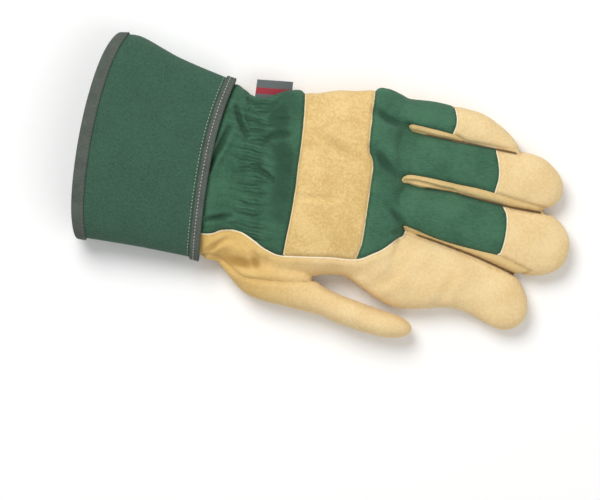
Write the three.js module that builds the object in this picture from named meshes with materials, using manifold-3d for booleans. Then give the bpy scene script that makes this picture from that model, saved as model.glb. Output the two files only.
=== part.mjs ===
import * as THREE from "three";
import Module from "manifold-3d";

// A left-hand work glove, fleece lined, lying palm down and a little open, as it is laid on a table.
// Leather makes the palm, thumb, first finger, knuckle strap and fingertips; green drill makes the
// back and the flared cuff, which has a grey binding at its mouth and a grey tape at the wrist.
// Millimetres. +X runs to the fingertips, +Y to the little finger's side, +Z up, the table is z = 0.

const wasm = await Module();
wasm.setup();

// Driving dimensions
const LEATHER_WALL = 2.4; // leather or drill with the fleece pile behind it
const CUFF_WALL = 2.0; // two layers of stiffened drill
const TAPE = 1.2; // thickness of the grey binding tape
const PATCH = 1.5; // single leather under the cuff
const GAP = 0.3; // between pieces that are sewn together
const SIDE_SEAM = 12; // height of the seam between back and palm round the hand's edge
const FORK_SEAM = 4.5; // height of the lower seam of the strips between the fingers
const CUFF_FLOOR = PATCH + GAP + TAPE + GAP; // the cuff stands on its leather patch
const RIM_X = -131.4; // middle of the cuff's mouth
const WRIST_X = -61; // middle of the seam between cuff and hand
const BINDING_WIDTH = 6;
const TAPE_WIDTH = 5;
const ELASTIC_X = -40; // where the elastic gathers the back
const BOW = { middle: 3, high: 0.0026, wrist: 0.0011, mouth: 0.0021 }; // of the cuff's ends in plan
const CORNER = 5; // rounding of the cuff's mouth in plan
const GATHER = { count: 9, height: 0.9, reach: 13 };
const ROUND = 2.3; // how square a section's upper half is: 2 is an ellipse
const FLAT = 3.4; // the same for its lower half, which the table flattens
const ROUNDING = 9; // of the hand's front, between the fingers
const FINEST = 0.12; // slivers thinner than this are closed up

// The hand from wrist to knuckles: low is the thumb side's y, high the little finger side's, top the
// height of the back, side the height of the widest line, floor the underside, skew the lean of the
// section in plan, as x per y.
const HAND = [
  { x: -60, low: -51.0, high: 44.5, top: 29.0, side: 13, floor: 2.4, skew: 0 },
  { x: -52, low: -51.5, high: 41.3, top: 26.5, side: 12, floor: 0.0, skew: 0 },
  { x: -41, low: -51.5, high: 38.6, top: 22.5, side: 12, floor: 0.0, skew: 0 },
  { x: -31, low: -56.0, high: 43.0, top: 24.5, side: 12, floor: 0.0, skew: 0 },
  { x: -22, low: -56.5, high: 46.8, top: 27.5, side: 12, floor: 0.0, skew: 0 },
  { x: -14, low: -55.5, high: 46.5, top: 29.0, side: 12, floor: 0.0, skew: 0 },
  { x: 0, low: -51.8, high: 50.8, top: 30.0, side: 12, floor: 0.0, skew: 0 },
  { x: 14, low: -47.5, high: 53.8, top: 30.0, side: 12, floor: 0.0, skew: 0 },
  { x: 27, low: -47.5, high: 56.9, top: 28.5, side: 12, floor: 0.0, skew: -0.06 },
  { x: 38, low: -53.0, high: 56.0, top: 25.5, side: 11, floor: 0.0, skew: -0.13 },
  { x: 52, low: -56.5, high: 52.6, top: 22.0, side: 10, floor: 0.0, skew: -0.17 },
];

// Fingers and thumb, base to tip: low and high are the sides' y in plan, as on the hand. The last
// row is the tip itself, and its rounding starts at the row before it.
const FINGERS = {
  little: [
    { x: 24, low: 36.0, high: 53.6, top: 20.0, side: 9.0 },
    { x: 38, low: 36.5, high: 54.0, top: 20.0, side: 9.0 },
    { x: 52, low: 36.4, high: 55.1, top: 19.5, side: 9.0 },
    { x: 73, low: 37.0, high: 54.7, top: 18.5, side: 8.5 },
    { x: 83, low: 36.8, high: 52.6, top: 17.5, side: 8.0 },
    { x: 91, low: 36.5, high: 48.6, top: 16.0, side: 7.5 },
    { x: 102, low: 36.0, high: 42.0, top: 14.0, side: 7.0 },
  ],
  ring: [
    { x: 20, low: 9.0, high: 35.5, top: 22.0, side: 10.5 },
    { x: 50, low: 8.0, high: 35.7, top: 21.5, side: 10.5 },
    { x: 70, low: 9.3, high: 36.2, top: 20.5, side: 10.0 },
    { x: 89, low: 7.8, high: 35.8, top: 19.5, side: 10.0 },
    { x: 108, low: 7.0, high: 37.4, top: 18.5, side: 9.0 },
    { x: 113, low: 7.1, high: 36.8, top: 18.0, side: 9.0 },
    { x: 129.5, low: 9.0, high: 32.0, top: 16.5, side: 8.5 },
  ],
  middle: [
    { x: 20, low: -15.0, high: 7.5, top: 22.0, side: 10.5 },
    { x: 50, low: -15.9, high: 7.0, top: 21.5, side: 10.5 },
    { x: 70, low: -18.3, high: 8.2, top: 20.5, side: 10.0 },
    { x: 86, low: -20.7, high: 6.9, top: 20.0, side: 10.0 },
    { x: 104, low: -24.2, high: 6.1, top: 19.0, side: 9.5 },
    { x: 120, low: -26.6, high: 6.7, top: 18.0, side: 9.0 },
    { x: 138.6, low: -25.0, high: 5.0, top: 16.5, side: 8.5 },
  ],
  index: [
    { x: 20, low: -46.0, high: -16.0, top: 20.0, side: 10.5 },
    { x: 40, low: -54.5, high: -16.5, top: 21.0, side: 10.5 },
    { x: 52, low: -58.2, high: -17.2, top: 21.0, side: 10.5 },
    { x: 66, low: -56.6, high: -18.8, top: 20.5, side: 10.0 },
    { x: 80, low: -53.4, high: -20.6, top: 20.0, side: 10.0 },
    { x: 92, low: -55.0, high: -22.5, top: 19.0, side: 9.5 },
    { x: 106, low: -60.1, high: -25.9, top: 18.0, side: 9.0 },
    { x: 123.4, low: -57.0, high: -33.0, top: 16.5, side: 8.5 },
  ],
  thumb: [
    { x: -48, low: -50.5, high: -32.0, top: 15.0, side: 8.0 },
    { x: -38, low: -58.5, high: -33.0, top: 19.0, side: 9.5 },
    { x: -29, low: -66.0, high: -36.0, top: 21.5, side: 10.5 },
    { x: -18, low: -68.4, high: -41.0, top: 22.0, side: 11.0 },
    { x: -4, low: -69.1, high: -46.0, top: 22.0, side: 11.0 },
    { x: 12, low: -69.8, high: -54.6, top: 22.0, side: 11.0 },
    { x: 26, low: -72.4, high: -56.6, top: 22.0, side: 11.0 },
    { x: 47, low: -74.6, high: -59.0, top: 21.0, side: 10.5 },
    { x: 64, low: -74.0, high: -60.5, top: 18.5, side: 9.5 },
  ],
};

// The cuff, mouth to wrist. The wrist row is also what the tape goes round.
const CUFF = [
  { x: -131.4, low: -53.4, high: 59.2, top: 37.5, side: 18.5 },
  { x: -120, low: -53.1, high: 59.4, top: 36.8, side: 18.2 },
  { x: -110, low: -52.8, high: 57.4, top: 36.0, side: 18.0 },
  { x: -92, low: -52.4, high: 51.8, top: 33.5, side: 17.0 },
  { x: -60, low: -52.6, high: 45.2, top: 30.4, side: 15.0 },
];

// Folds of the back: each runs in plan from one end to the other, is a groove (deep over 0) that
// many millimetres deep, and fades out over its width.
const FOLDS = [
  { from: [-53, 34], to: [-42, 15], wide: 3.5, deep: 1.6 }, // from the tape down to the elastic
  { from: [-55, 22], to: [-59, 3], wide: 3.5, deep: 1.2 },
  { from: [-58, -31], to: [-38, -26], wide: 3.5, deep: 1.2 },
  { from: [-37, 17], to: [-22, 22], wide: 3.5, deep: 1.0 },
  { from: [-27, 31], to: [-25, 27], wide: 8.0, deep: 1.4 }, // hollow beside the strap
  { from: [-20, 6], to: [-20, -24], wide: 7.0, deep: 1.4 },
  { from: [23, 44], to: [39, 38], wide: 4.0, deep: 2.2 }, // into the fork of little and ring
  { from: [24, 21], to: [42, 11], wide: 5.0, deep: 2.4 }, // into the fork of ring and middle
  { from: [36, 2], to: [46, -12], wide: 4.5, deep: 1.5 },
  { from: [-53, -48], to: [-43, -41], wide: 3.5, deep: 1.6 }, // in the leather by the wrist
];

// Value of one column at x, on a smooth curve through the rows.
function column(rows, name, x) {
  const last = rows.length - 1;
  const i = Math.min(Math.max(rows.findIndex((row) => row.x >= x) - 1, 0), last - 1);
  const slope = (k) => {
    const a = rows[Math.max(k - 1, 0)];
    const b = rows[Math.min(k + 1, last)];
    return (b[name] - a[name]) / (b.x - a.x);
  };
  const [p, q] = [rows[i], rows[i + 1]];
  const step = q.x - p.x;
  const t = x > rows[last].x ? 1 : THREE.MathUtils.clamp((x - p.x) / step, 0, 1);
  return (
    p[name] * (1 + 2 * t) * (1 - t) ** 2 +
    q[name] * t * t * (3 - 2 * t) +
    slope(i) * step * t * (1 - t) ** 2 -
    slope(i + 1) * step * t * t * (1 - t)
  );
}

// How far the folds lower the back at a point in plan.
function foldDepth(x, y) {
  let depth = 0;
  for (const { from, to, wide, deep } of FOLDS) {
    const run = new THREE.Vector2(to[0] - from[0], to[1] - from[1]);
    const reach = new THREE.Vector2(x - from[0], y - from[1]);
    const share = THREE.MathUtils.clamp(reach.dot(run) / run.lengthSq(), 0, 1);
    const away = reach.addScaledVector(run, -share).length();
    depth += deep * Math.exp(-((away / wide) ** 2));
  }
  return depth;
}

// One ring of points round a section: upper points on its upper half, lower ones under it. grow
// moves the ring out, or in where it is negative. Turn 0 is the little finger's side.
function ring(row, upper, lower, grow) {
  const mid = (row.low + row.high) / 2;
  const half = Math.max((row.high - row.low) / 2 + grow, 0.2);
  const rise = Math.max(row.top - row.side + grow, 0.2);
  const drop = Math.max(row.side - row.floor + grow, 0.2);
  const points = [];
  for (let i = 0; i < upper + lower; i++) {
    const turn = i < upper ? (Math.PI * i) / upper : Math.PI * (1 + (i - upper) / lower);
    const c = Math.cos(turn);
    const s = Math.sin(turn);
    const y = mid + half * Math.sign(c) * Math.abs(c) ** (2 / ROUND);
    const z = s > 0 ? rise * s ** (2 / ROUND) : -drop * Math.abs(s) ** (2 / FLAT);
    const lift = s > 0 && row.lift ? row.lift(y, i / upper) * s : 0;
    points.push(new THREE.Vector3(row.x + row.shift(y), y, row.side + z + lift));
  }
  return points;
}

// A closed solid through rings that all have the same number of points, in order of x.
function solidThrough(rings) {
  const count = rings[0].length;
  const middle = (points) =>
    points.reduce((sum, p) => sum.add(p), new THREE.Vector3()).divideScalar(points.length);
  const vertices = rings.flat();
  vertices.push(middle(rings[0]), middle(rings.at(-1)));
  const faces = [];
  for (let i = 0; i < count; i++) {
    const j = (i + 1) % count;
    for (let k = 0; k < rings.length - 1; k++) {
      const [a, b] = [k * count, (k + 1) * count];
      faces.push([a + i, a + j, b + j], [a + i, b + j, b + i]);
    }
    const end = (rings.length - 1) * count;
    faces.push([vertices.length - 2, j, i], [vertices.length - 1, end + i, end + j]);
  }
  return new wasm.Manifold(
    new wasm.Mesh({
      numProp: 3,
      vertProperties: new Float32Array(vertices.flatMap((p) => p.toArray())),
      triVerts: new Uint32Array(faces.flat()),
    }),
  );
}

const everyRow = (rows, x, names) =>
  Object.fromEntries([["x", x], ...names.map((name) => [name, column(rows, name, x)])]);

// Draws a row in towards its middle by a share of its width and height, as a rounded end does.
function drawIn(row, grow, width, height) {
  const mid = (row.low + row.high) / 2;
  const half = ((row.high - row.low) / 2 + grow) * width - grow;
  row.low = mid - half;
  row.high = mid + half;
  row.top = row.side + (row.top - row.side + grow) * height - grow;
  row.floor = row.side - (row.side - row.floor + grow) * height + grow;
}

// A finger or the thumb: sections along x, then a blunt round tip.
function digit(name, grow, upper, lower, steps) {
  const rows = FINGERS[name];
  const tip = rows.at(-1).x + grow;
  const round = rows.at(-2).x;
  const xs = [];
  for (let i = 0; i <= steps; i++) xs.push(rows[0].x + ((round - rows[0].x) * i) / steps);
  for (const share of [0.4, 0.7, 0.9, 0.985]) xs.push(round + (tip - round) * share);
  const rings = xs.map((x) => {
    const row = everyRow(rows, x, ["low", "high", "top", "side"]);
    row.floor = 0;
    row.shift = () => 0;
    const share = Math.max((x - round) / (tip - round), 0);
    drawIn(row, grow, (1 - share ** 2.4) ** (1 / 2.4), (1 - share ** 2.6) ** (1 / 2.6));
    return ring(row, upper, lower, grow);
  });
  return solidThrough(rings);
}

// The hand without its fingers. It is closed and round in front, where the forks show.
function hand(grow, upper, lower, step, startX) {
  const front = 46 + grow;
  const xs = [];
  for (let x = startX; x < front - ROUNDING - step / 2; x += step) xs.push(x);
  for (const share of [0, 0.4, 0.7, 0.9, 0.98]) xs.push(front - ROUNDING * (1 - share));
  const rings = xs.map((x) => {
    const row = everyRow(HAND, x, ["low", "high", "top", "side", "floor", "skew"]);
    const share = Math.max((x - front + ROUNDING) / ROUNDING, 0);
    const height = (1 - share ** 2) ** 0.5;
    drawIn(row, grow, 1, height);
    const near = THREE.MathUtils.clamp((-30 - x) / 30, 0, 1);
    row.shift = (y) => row.skew * (y - 5) + near * bow(x, y);
    const ripple = GATHER.height * Math.exp(-(((x - ELASTIC_X) / GATHER.reach) ** 2));
    row.lift = (y, turn) =>
      ((grow < 0 ? 0 : ripple * Math.cos(2 * Math.PI * GATHER.count * turn)) - foldDepth(x, y)) * height;
    return ring(row, upper, lower, grow);
  });
  return solidThrough(rings);
}

// Both ends of the cuff bow towards its mouth in plan, the mouth more so on the thumb's side.
function bow(x, y) {
  const share = THREE.MathUtils.clamp((WRIST_X - x) / (WRIST_X - RIM_X), 0, 1);
  const curve = y > BOW.middle ? BOW.high : THREE.MathUtils.lerp(BOW.wrist, BOW.mouth, share);
  return curve * (y - BOW.middle) ** 2;
}

function cuffTube(grow, fromX, toX, steps) {
  const rings = [];
  for (let i = 0; i <= steps; i++) {
    const x = fromX + ((toX - fromX) * i) / steps;
    const inside = THREE.MathUtils.clamp(x, CUFF[0].x, CUFF.at(-1).x);
    const row = everyRow(CUFF, inside, ["low", "high", "top", "side"]);
    row.x = x;
    row.floor = CUFF_FLOOR;
    const nearMouth = THREE.MathUtils.clamp((RIM_X + 24 - x) / 24, 0, 1);
    const [mid, half] = [(row.low + row.high) / 2, (row.high - row.low) / 2];
    row.shift = (y) =>
      bow(x, y) + (y > mid ? CORNER : CORNER / 3) * nearMouth * Math.abs((y - mid) / half) ** 9;
    rings.push(ring(row, 20, 10, grow));
  }
  return solidThrough(rings);
}

// A plan outline, as a smooth closed curve or straight runs, made a tall prism above floor.
function prism(outline, floor, grow) {
  const points = outline.map(([x, y]) => new THREE.Vector2(x, y));
  if (!THREE.ShapeUtils.isClockWise(points)) points.reverse();
  const moved = points.map((p, i) => {
    const before = points.at(i - 1);
    const after = points[(i + 1) % points.length];
    const a = p.clone().sub(before).normalize();
    const b = after.clone().sub(p).normalize();
    const out = new THREE.Vector2(-a.y - b.y, a.x + b.x).normalize();
    const stretch = Math.max(out.dot(new THREE.Vector2(-a.y, a.x)), 0.5);
    return p.clone().addScaledVector(out, grow / stretch);
  });
  const TALL = 60;
  const geometry = new THREE.ExtrudeGeometry(new THREE.Shape(moved), {
    depth: TALL,
    bevelEnabled: false,
  });
  geometry.translate(0, 0, floor - grow);
  return solidOf(geometry);
}

function solidOf(geometry) {
  const position = geometry.getAttribute("position");
  const index = geometry.index ? geometry.index.array : [...Array(position.count).keys()];
  const keys = new Map();
  const vertices = [];
  const faces = [];
  for (const i of index) {
    const point = [position.getX(i), position.getY(i), position.getZ(i)];
    const key = point.map((v) => v.toFixed(4)).join();
    if (!keys.has(key)) keys.set(key, keys.size) && vertices.push(...point);
    faces.push(keys.get(key));
  }
  return new wasm.Manifold(
    new wasm.Mesh({
      numProp: 3,
      vertProperties: new Float32Array(vertices),
      triVerts: new Uint32Array(faces),
    }),
  );
}

// Seams in plan, each from the thumb's side or the wrist onwards
const OUTSIDE = 75; // well past the glove
const BACK_SEAM = [
  [-75, -41], [-54.6, -38.7], [-47.6, -35.4], [-41.8, -34], [-36.8, -34.3], [-29, -37.5],
  [-21.7, -41], [-14.2, -42.6], [-3, -41.3], [13, -38.7], [27, -37.1], [35.4, -32.2],
  [41, -28], [49.4, -19.4],
];
const STRAP_WRIST_EDGE = [
  [-12.6, -45], [-12.3, -33], [-12.2, -19], [-12.7, -5], [-13.7, 8], [-14.3, 22], [-15.2, 33], [-17, 46],
];
const STRAP_KNUCKLE_EDGE = [
  [28.1, -40], [28.6, -25], [27.7, -6], [27, 9], [25.6, 18], [23.4, 21], [21.8, 30], [20.6, 46], [19.4, 56],
];
const LITTLE_TIP_EDGE = [[65.2, 38.4], [66.3, 44], [65.8, 49], [64, 54]];
const RING_TIP_EDGE = [[93.4, 12.6], [94.1, 21], [92.6, 28.5], [89.9, 36]];
const MIDDLE_TIP_EDGE = [[101.4, -20], [102.8, -18.2], [103.6, -10.5], [103.1, -2], [101.5, 4], [98.6, 7.2]];
const LITTLE_RING_FORK = [
  [40.5, 32.6], [54, 32.4], [72, 33.0], [88.5, 32.6], [88.5, 40.4], [72, 40.6], [54, 40.6], [42, 41], [37, 38.6],
  [37, 35],
];
const RING_MIDDLE_FORK = [
  [44, 3.6], [59, 4.2], [70, 4.6], [86, 3.5], [100.5, 2.9], [112, 2.4], [112, 10.4], [95, 11.3], [84, 13.5],
  [73, 13.8], [61, 14.5], [46, 13.2], [41, 10.8], [41, 7],
];
const MIDDLE_INDEX_FORK = [
  [52, -20.4], [64, -22], [80, -24], [92, -25.9], [106, -29.2], [116, -30.4], [116, -22.8], [104, -20.8],
  [92, -19.0], [80, -16.4], [64, -14.6], [50, -12.6], [46, -14.4], [46, -18.4],
];
const THUMB_SEAM = [
  [-48, -49.6], [-40, -53], [-32, -57.6], [-22, -57.6], [-8, -55.6], [4, -52.6], [13, -50.4], [20, -52], [34, -54.2],
  [44, -57.6], [60, -60.4], [74, -60.4],
];
// The leather under the fingers is cut across at their base, and between them along these lines.
const FINGER_BASE = [[30, OUTSIDE], [33.5, 60], [42, 5], [52, -60], [55, -80]];
const LITTLE_RING_LINE = [
  [30, 36], [52, 36.05], [73, 36.6], [83, 36.3], [92, 36.4], [98, 37.2], [104, 38.6], [112, 40], [125, 60],
];
const RING_MIDDLE_LINE = [
  [30, 7.2], [50, 7.5], [60, 8.3], [70, 8.75], [80, 8], [88, 7.35], [106, 6.6], [116, 6.9], [125, 7.8], [150, 9],
];
const MIDDLE_FIRST_LINE = [
  [40, -16], [50, -16.5], [68, -18.7], [80, -20.2], [92, -22.1], [104, -24.8], [112, -27], [120, -29], [150, -29],
];
const PATCH_OUTLINE = [
  [-50, -10], [-62, -10], [-70, -13.5], [-80, -15], [-89, -12], [-95.5, -4], [-98, 8], [-98, 26], [-94.5, 37],
  [-87, 43], [-78, 44], [-70, 41], [-62, 36.5], [-50, 36.5],
];

// Each panel is what its prism takes of the glove's wall, less what the panels before it took.
const PANELS = [
  {
    name: "knuckle_strap",
    floor: SIDE_SEAM,
    outline: [
      ...STRAP_WRIST_EDGE.slice(1), [-17, OUTSIDE], [19.4, OUTSIDE],
      ...STRAP_KNUCKLE_EDGE.slice(1).toReversed(), [27, -37.1], [13, -38.7], [-3, -41.3], [-12.6, -42.6],
    ],
  },
  {
    name: "wrist_back",
    floor: SIDE_SEAM,
    outline: [...BACK_SEAM.slice(0, 9), [-3, OUTSIDE], [-75, OUTSIDE]],
  },
  { name: "little_ring_fourchette", floor: FORK_SEAM, outline: LITTLE_RING_FORK },
  { name: "ring_middle_fourchette", floor: FORK_SEAM, outline: RING_MIDDLE_FORK },
  { name: "middle_index_fourchette", floor: FORK_SEAM, outline: MIDDLE_INDEX_FORK },
  {
    name: "little_fingertip",
    floor: SIDE_SEAM - 3,
    outline: [...LITTLE_TIP_EDGE, [64, OUTSIDE], [125, OUTSIDE], [125, 36.4], [80, 36.4], [80, 38.4]],
  },
  {
    name: "ring_fingertip",
    floor: SIDE_SEAM - 3,
    outline: [...RING_TIP_EDGE, [102, 36.2], [112, 40], [145, 40], [145, 8.2], [124, 6.9], [104, 6.7], [93, 7.4]],
  },
  {
    name: "middle_fingertip",
    floor: SIDE_SEAM - 3,
    outline: [
      ...MIDDLE_TIP_EDGE, [112, 6.4], [124, 6.9], [150, 8.2], [150, -27.3], [118, -27.3], [104, -24.6],
    ],
  },
  {
    name: "hand_back",
    floor: SIDE_SEAM - 1.5,
    outline: [...BACK_SEAM.slice(8), [50, -14], [108, -20], [108, OUTSIDE], [-3, OUTSIDE]],
  },
  {
    name: "thumb",
    floor: -5,
    outline: [...THUMB_SEAM, [80, -90], [-52, -90], [-52, -49.6]],
  },
  { name: "little_finger_front", floor: -5, outline: fingerFront(LITTLE_RING_LINE) },
  { name: "ring_finger_front", floor: -5, outline: fingerFront(RING_MIDDLE_LINE) },
  { name: "middle_finger_front", floor: -5, outline: fingerFront(MIDDLE_FIRST_LINE) },
  { name: "first_finger", floor: -5, outline: fingerFront([[55, -80], [150, -80]]) },
];

// All that lies beyond the fingers' base on the little finger's side of a line.
function fingerFront(line) {
  const baseX = (y) => {
    const i = Math.max(FINGER_BASE.findIndex(([, baseY]) => baseY <= y), 1);
    const [[x0, y0], [x1, y1]] = [FINGER_BASE[i - 1], FINGER_BASE[i]];
    return x0 + ((x1 - x0) * (y - y0)) / (y1 - y0);
  };
  const [[, y0]] = line;
  return [
    [baseX(y0), y0], ...line.filter(([x, y]) => x > baseX(y)), [150, OUTSIDE],
    ...FINGER_BASE.filter(([, y]) => y > y0),
  ];
}

const green = new THREE.MeshStandardMaterial({ color: 0x2f6148, roughness: 0.9, metalness: 0 });
const leather = new THREE.MeshStandardMaterial({ color: 0xdfba78, roughness: 0.85, metalness: 0 });
const grey = new THREE.MeshStandardMaterial({ color: 0x5c5c5b, roughness: 0.9, metalness: 0 });
const GREEN_PANELS = ["wrist_back", "hand_back", "cuff"];
const GREY_TRIM = ["cuff_binding", "wrist_tape", "side_label"];

// The glove's wall: everything outside less everything inside.
const NAMES = Object.keys(FINGERS);
const outside = wasm.Manifold.union([
  hand(0, 36, 12, 7.5, HAND[0].x),
  ...NAMES.map((name) => digit(name, 0, 9, 6, 5)),
]).intersect(slab(0, 80));
const inside = wasm.Manifold.union([
  hand(-LEATHER_WALL, 16, 8, 7.5, HAND[0].x - 7.5),
  ...NAMES.map((name) => digit(name, -LEATHER_WALL, 7, 5, 4)),
]).intersect(slab(LEATHER_WALL, 80));
const wall = outside.subtract(inside);

const glove = new THREE.Group();
const solids = new Map();
let left = wall;
for (const { name, floor, outline } of PANELS) {
  solids.set(name, biggest(left.intersect(prism(outline, floor, 0))));
  left = left.subtract(prism(outline, floor, GAP));
}
const patch = prism(PATCH_OUTLINE, 0, 0).intersect(slab(0, PATCH));
solids.set("palm", biggest(left.add(patch)));

// The part of a cut that counts: crumbs where two seams meet are dropped, and slivers closed up.
function biggest(solid) {
  const [most] = solid.decompose().sort((a, b) => b.volume() - a.volume());
  return most.simplify(FINEST);
}

function slab(low, high) {
  const geometry = new THREE.BoxGeometry(600, 600, high - low);
  geometry.translate(0, 0, (low + high) / 2);
  return solidOf(geometry);
}

// Cuff, with the binding folded over its mouth and the tape round its wrist end
const CUFF_END = HAND[0].x - GAP;
const cuff = cuffTube(0, RIM_X, CUFF_END - GAP, 6).subtract(
  cuffTube(-CUFF_WALL, RIM_X - 20, CUFF_END + 20, 8),
);
solids.set("cuff", biggest(cuff));
const edgeWall = cuffTube(GAP, RIM_X - GAP, RIM_X + 20, 2).subtract(
  cuffTube(-CUFF_WALL - GAP, RIM_X - 20, RIM_X + 40, 3),
);
const edgeFold = cuffTube(GAP + TAPE, RIM_X - GAP - TAPE, RIM_X + BINDING_WIDTH, 1).subtract(
  cuffTube(-CUFF_WALL - GAP - TAPE, RIM_X - 20, RIM_X + 40, 3),
);
solids.set("cuff_binding", biggest(edgeFold.subtract(edgeWall)));
solids.set(
  "wrist_tape",
  cuffTube(GAP + TAPE, CUFF_END - TAPE_WIDTH, CUFF_END - GAP, 1).subtract(
    cuffTube(GAP, CUFF_END - 20, CUFF_END + 20, 2),
  ),
);

// Woven tab folded into the side seam beside the elastic
const LABEL = { long: 19.5, out: 12, thick: 0.9, x: -33.6, y: 43.4, z: SIDE_SEAM + 1.2, turn: 0.06 };
const labelBox = new THREE.BoxGeometry(LABEL.long, LABEL.out, LABEL.thick);
labelBox.rotateZ(LABEL.turn);
labelBox.translate(LABEL.x, LABEL.y, LABEL.z);
solids.set("side_label", biggest(solidOf(labelBox).subtract(hand(GAP, 36, 12, 7.5, HAND[0].x))));

// The origin goes to the middle of the glove's box, on the table.
const box = new THREE.Box3();
for (const solid of solids.values()) {
  const { min, max } = solid.boundingBox();
  box.union(new THREE.Box3(new THREE.Vector3(...min), new THREE.Vector3(...max)));
}
const middle = box.getCenter(new THREE.Vector3());

for (const [name, solid] of solids) {
  const { vertProperties, triVerts, numProp } = solid.getMesh();
  const geometry = new THREE.BufferGeometry();
  const positions = new Float32Array((vertProperties.length / numProp) * 3);
  for (let i = 0; i < positions.length / 3; i++) {
    positions.set(vertProperties.subarray(i * numProp, i * numProp + 3), i * 3);
  }
  geometry.setAttribute("position", new THREE.BufferAttribute(positions, 3));
  geometry.setIndex(new THREE.BufferAttribute(triVerts, 1));
  let material = leather;
  if (GREEN_PANELS.includes(name)) material = green;
  if (GREY_TRIM.includes(name)) material = grey;
  const mesh = new THREE.Mesh(geometry, material);
  mesh.name = name;
  glove.add(mesh);
}
glove.position.set(-middle.x, -middle.y, -box.min.z);

export default glove;
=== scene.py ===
import math

import bpy
import numpy as np
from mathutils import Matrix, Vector, kdtree


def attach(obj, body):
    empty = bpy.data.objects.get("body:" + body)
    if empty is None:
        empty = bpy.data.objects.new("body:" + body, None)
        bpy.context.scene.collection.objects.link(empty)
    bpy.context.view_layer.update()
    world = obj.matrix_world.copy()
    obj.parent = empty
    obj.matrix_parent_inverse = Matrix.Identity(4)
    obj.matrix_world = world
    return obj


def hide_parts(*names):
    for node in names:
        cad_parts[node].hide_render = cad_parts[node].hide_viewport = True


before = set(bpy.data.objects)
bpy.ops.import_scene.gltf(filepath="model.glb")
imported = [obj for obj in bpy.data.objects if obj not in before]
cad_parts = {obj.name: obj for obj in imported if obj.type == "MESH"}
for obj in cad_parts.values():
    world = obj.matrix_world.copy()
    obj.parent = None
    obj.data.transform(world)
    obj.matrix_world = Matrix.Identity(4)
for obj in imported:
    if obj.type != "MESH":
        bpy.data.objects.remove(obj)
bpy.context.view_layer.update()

# Table, light and camera. The glove lies on a pale table in soft studio light, and is seen from
# straight above through a long lens, turned a little so that its fingers point down to the right.
MM = 0.001
DRAWN = np.array([-2.71, 6.82, 0.0])  # from the drawing's origin on the hand to the box's middle
VIEW_TURN = math.radians(11.0)
VIEW_CENTRE = (-3.7, -37.6)  # in the drawing, at the middle of the picture
PICTURE_WIDTH = 324.0
CAMERA_HEIGHT = 3000.0
HALF_THICK = 15.0  # height of the glove's widest outline, where the picture's scale holds
SENSOR = 36.0
TABLE_SIZE = 6.0
TABLE_DROP = 0.0004  # keeps the table's face clear of the leather that lies on it

bpy.ops.mesh.primitive_plane_add(size=TABLE_SIZE, location=(0, 0, -TABLE_DROP))
table = bpy.context.object
table.name = "table"
table_finish = bpy.data.materials.new("pale_table")
table_finish.use_nodes = True
paint = table_finish.node_tree.nodes["Principled BSDF"]
paint.inputs["Base Color"].default_value = (0.97, 0.97, 0.965, 1)
paint.inputs["Roughness"].default_value = 0.85
table.data.materials.append(table_finish)


def soft_light(name, place, size, power):
    """A round lamp that faces the glove."""
    data = bpy.data.lights.new(name, "AREA")
    data.shape = "DISK"
    data.size = size
    data.energy = power
    lamp = bpy.data.objects.new(name, data)
    lamp.location = place
    lamp.rotation_euler = Vector(place).to_track_quat("Z", "Y").to_euler()
    bpy.context.scene.collection.objects.link(lamp)


soft_light("window", (-0.62, 0.70, 1.38), 1.0, 19)
soft_light("fill", (0.9, -0.5, 1.3), 1.6, 7)
sky = bpy.data.worlds.new("studio")
sky.use_nodes = True
glow = sky.node_tree.nodes["Background"].inputs
glow["Color"].default_value = (1, 1, 1, 1)
glow["Strength"].default_value = 0.40
bpy.context.scene.world = sky
bpy.context.scene.view_settings.view_transform = "Standard"

lens = bpy.data.cameras.new("camera")
lens.sensor_width = SENSOR
lens.lens = SENSOR * (CAMERA_HEIGHT - HALF_THICK) / PICTURE_WIDTH
lens.clip_end = 20.0
camera = bpy.data.objects.new("camera", lens)
camera.location = (
    (VIEW_CENTRE[0] + DRAWN[0]) * MM,
    (VIEW_CENTRE[1] + DRAWN[1]) * MM,
    CAMERA_HEIGHT * MM,
)
camera.rotation_euler = (0, 0, VIEW_TURN)
bpy.context.scene.collection.objects.link(camera)
bpy.context.scene.camera = camera


# The skin of the hand. Leather and cloth are sewn into one bag for the hand, four fingers and the
# thumb, so its whole surface is shaped here first and then cut along the seams into its panels.
# Sizes are in millimetres, in the drawing of the glove as it lies.
ROUND = 2.3  # how square a section's upper half is: 2 is an ellipse
FLAT = 3.4  # the same for the half that lies on the table
SKIN_GRAIN = 0.9  # size of the surface's faces
COLUMNS = ("x", "low", "high", "top", "side")
HAND_COLUMNS = COLUMNS + ("floor", "skew")
HAND = [
    (-60, -51.0, 44.5, 29.0, 13, 2.4, 0),
    (-52, -51.5, 41.3, 26.5, 12, 0.0, 0),
    (-41, -51.5, 38.6, 22.5, 12, 0.0, 0),
    (-31, -56.0, 43.0, 24.5, 12, 0.0, 0),
    (-22, -56.5, 46.8, 27.5, 12, 0.0, 0),
    (-14, -55.5, 46.5, 29.0, 12, 0.0, 0),
    (0, -51.8, 50.8, 30.0, 12, 0.0, 0),
    (14, -47.5, 53.8, 30.0, 12, 0.0, 0),
    (27, -47.5, 56.9, 28.5, 12, 0.0, -0.06),
    (38, -53.0, 56.0, 25.5, 11, 0.0, -0.13),
    (52, -56.5, 52.6, 22.0, 10, 0.0, -0.17),
]
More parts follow.
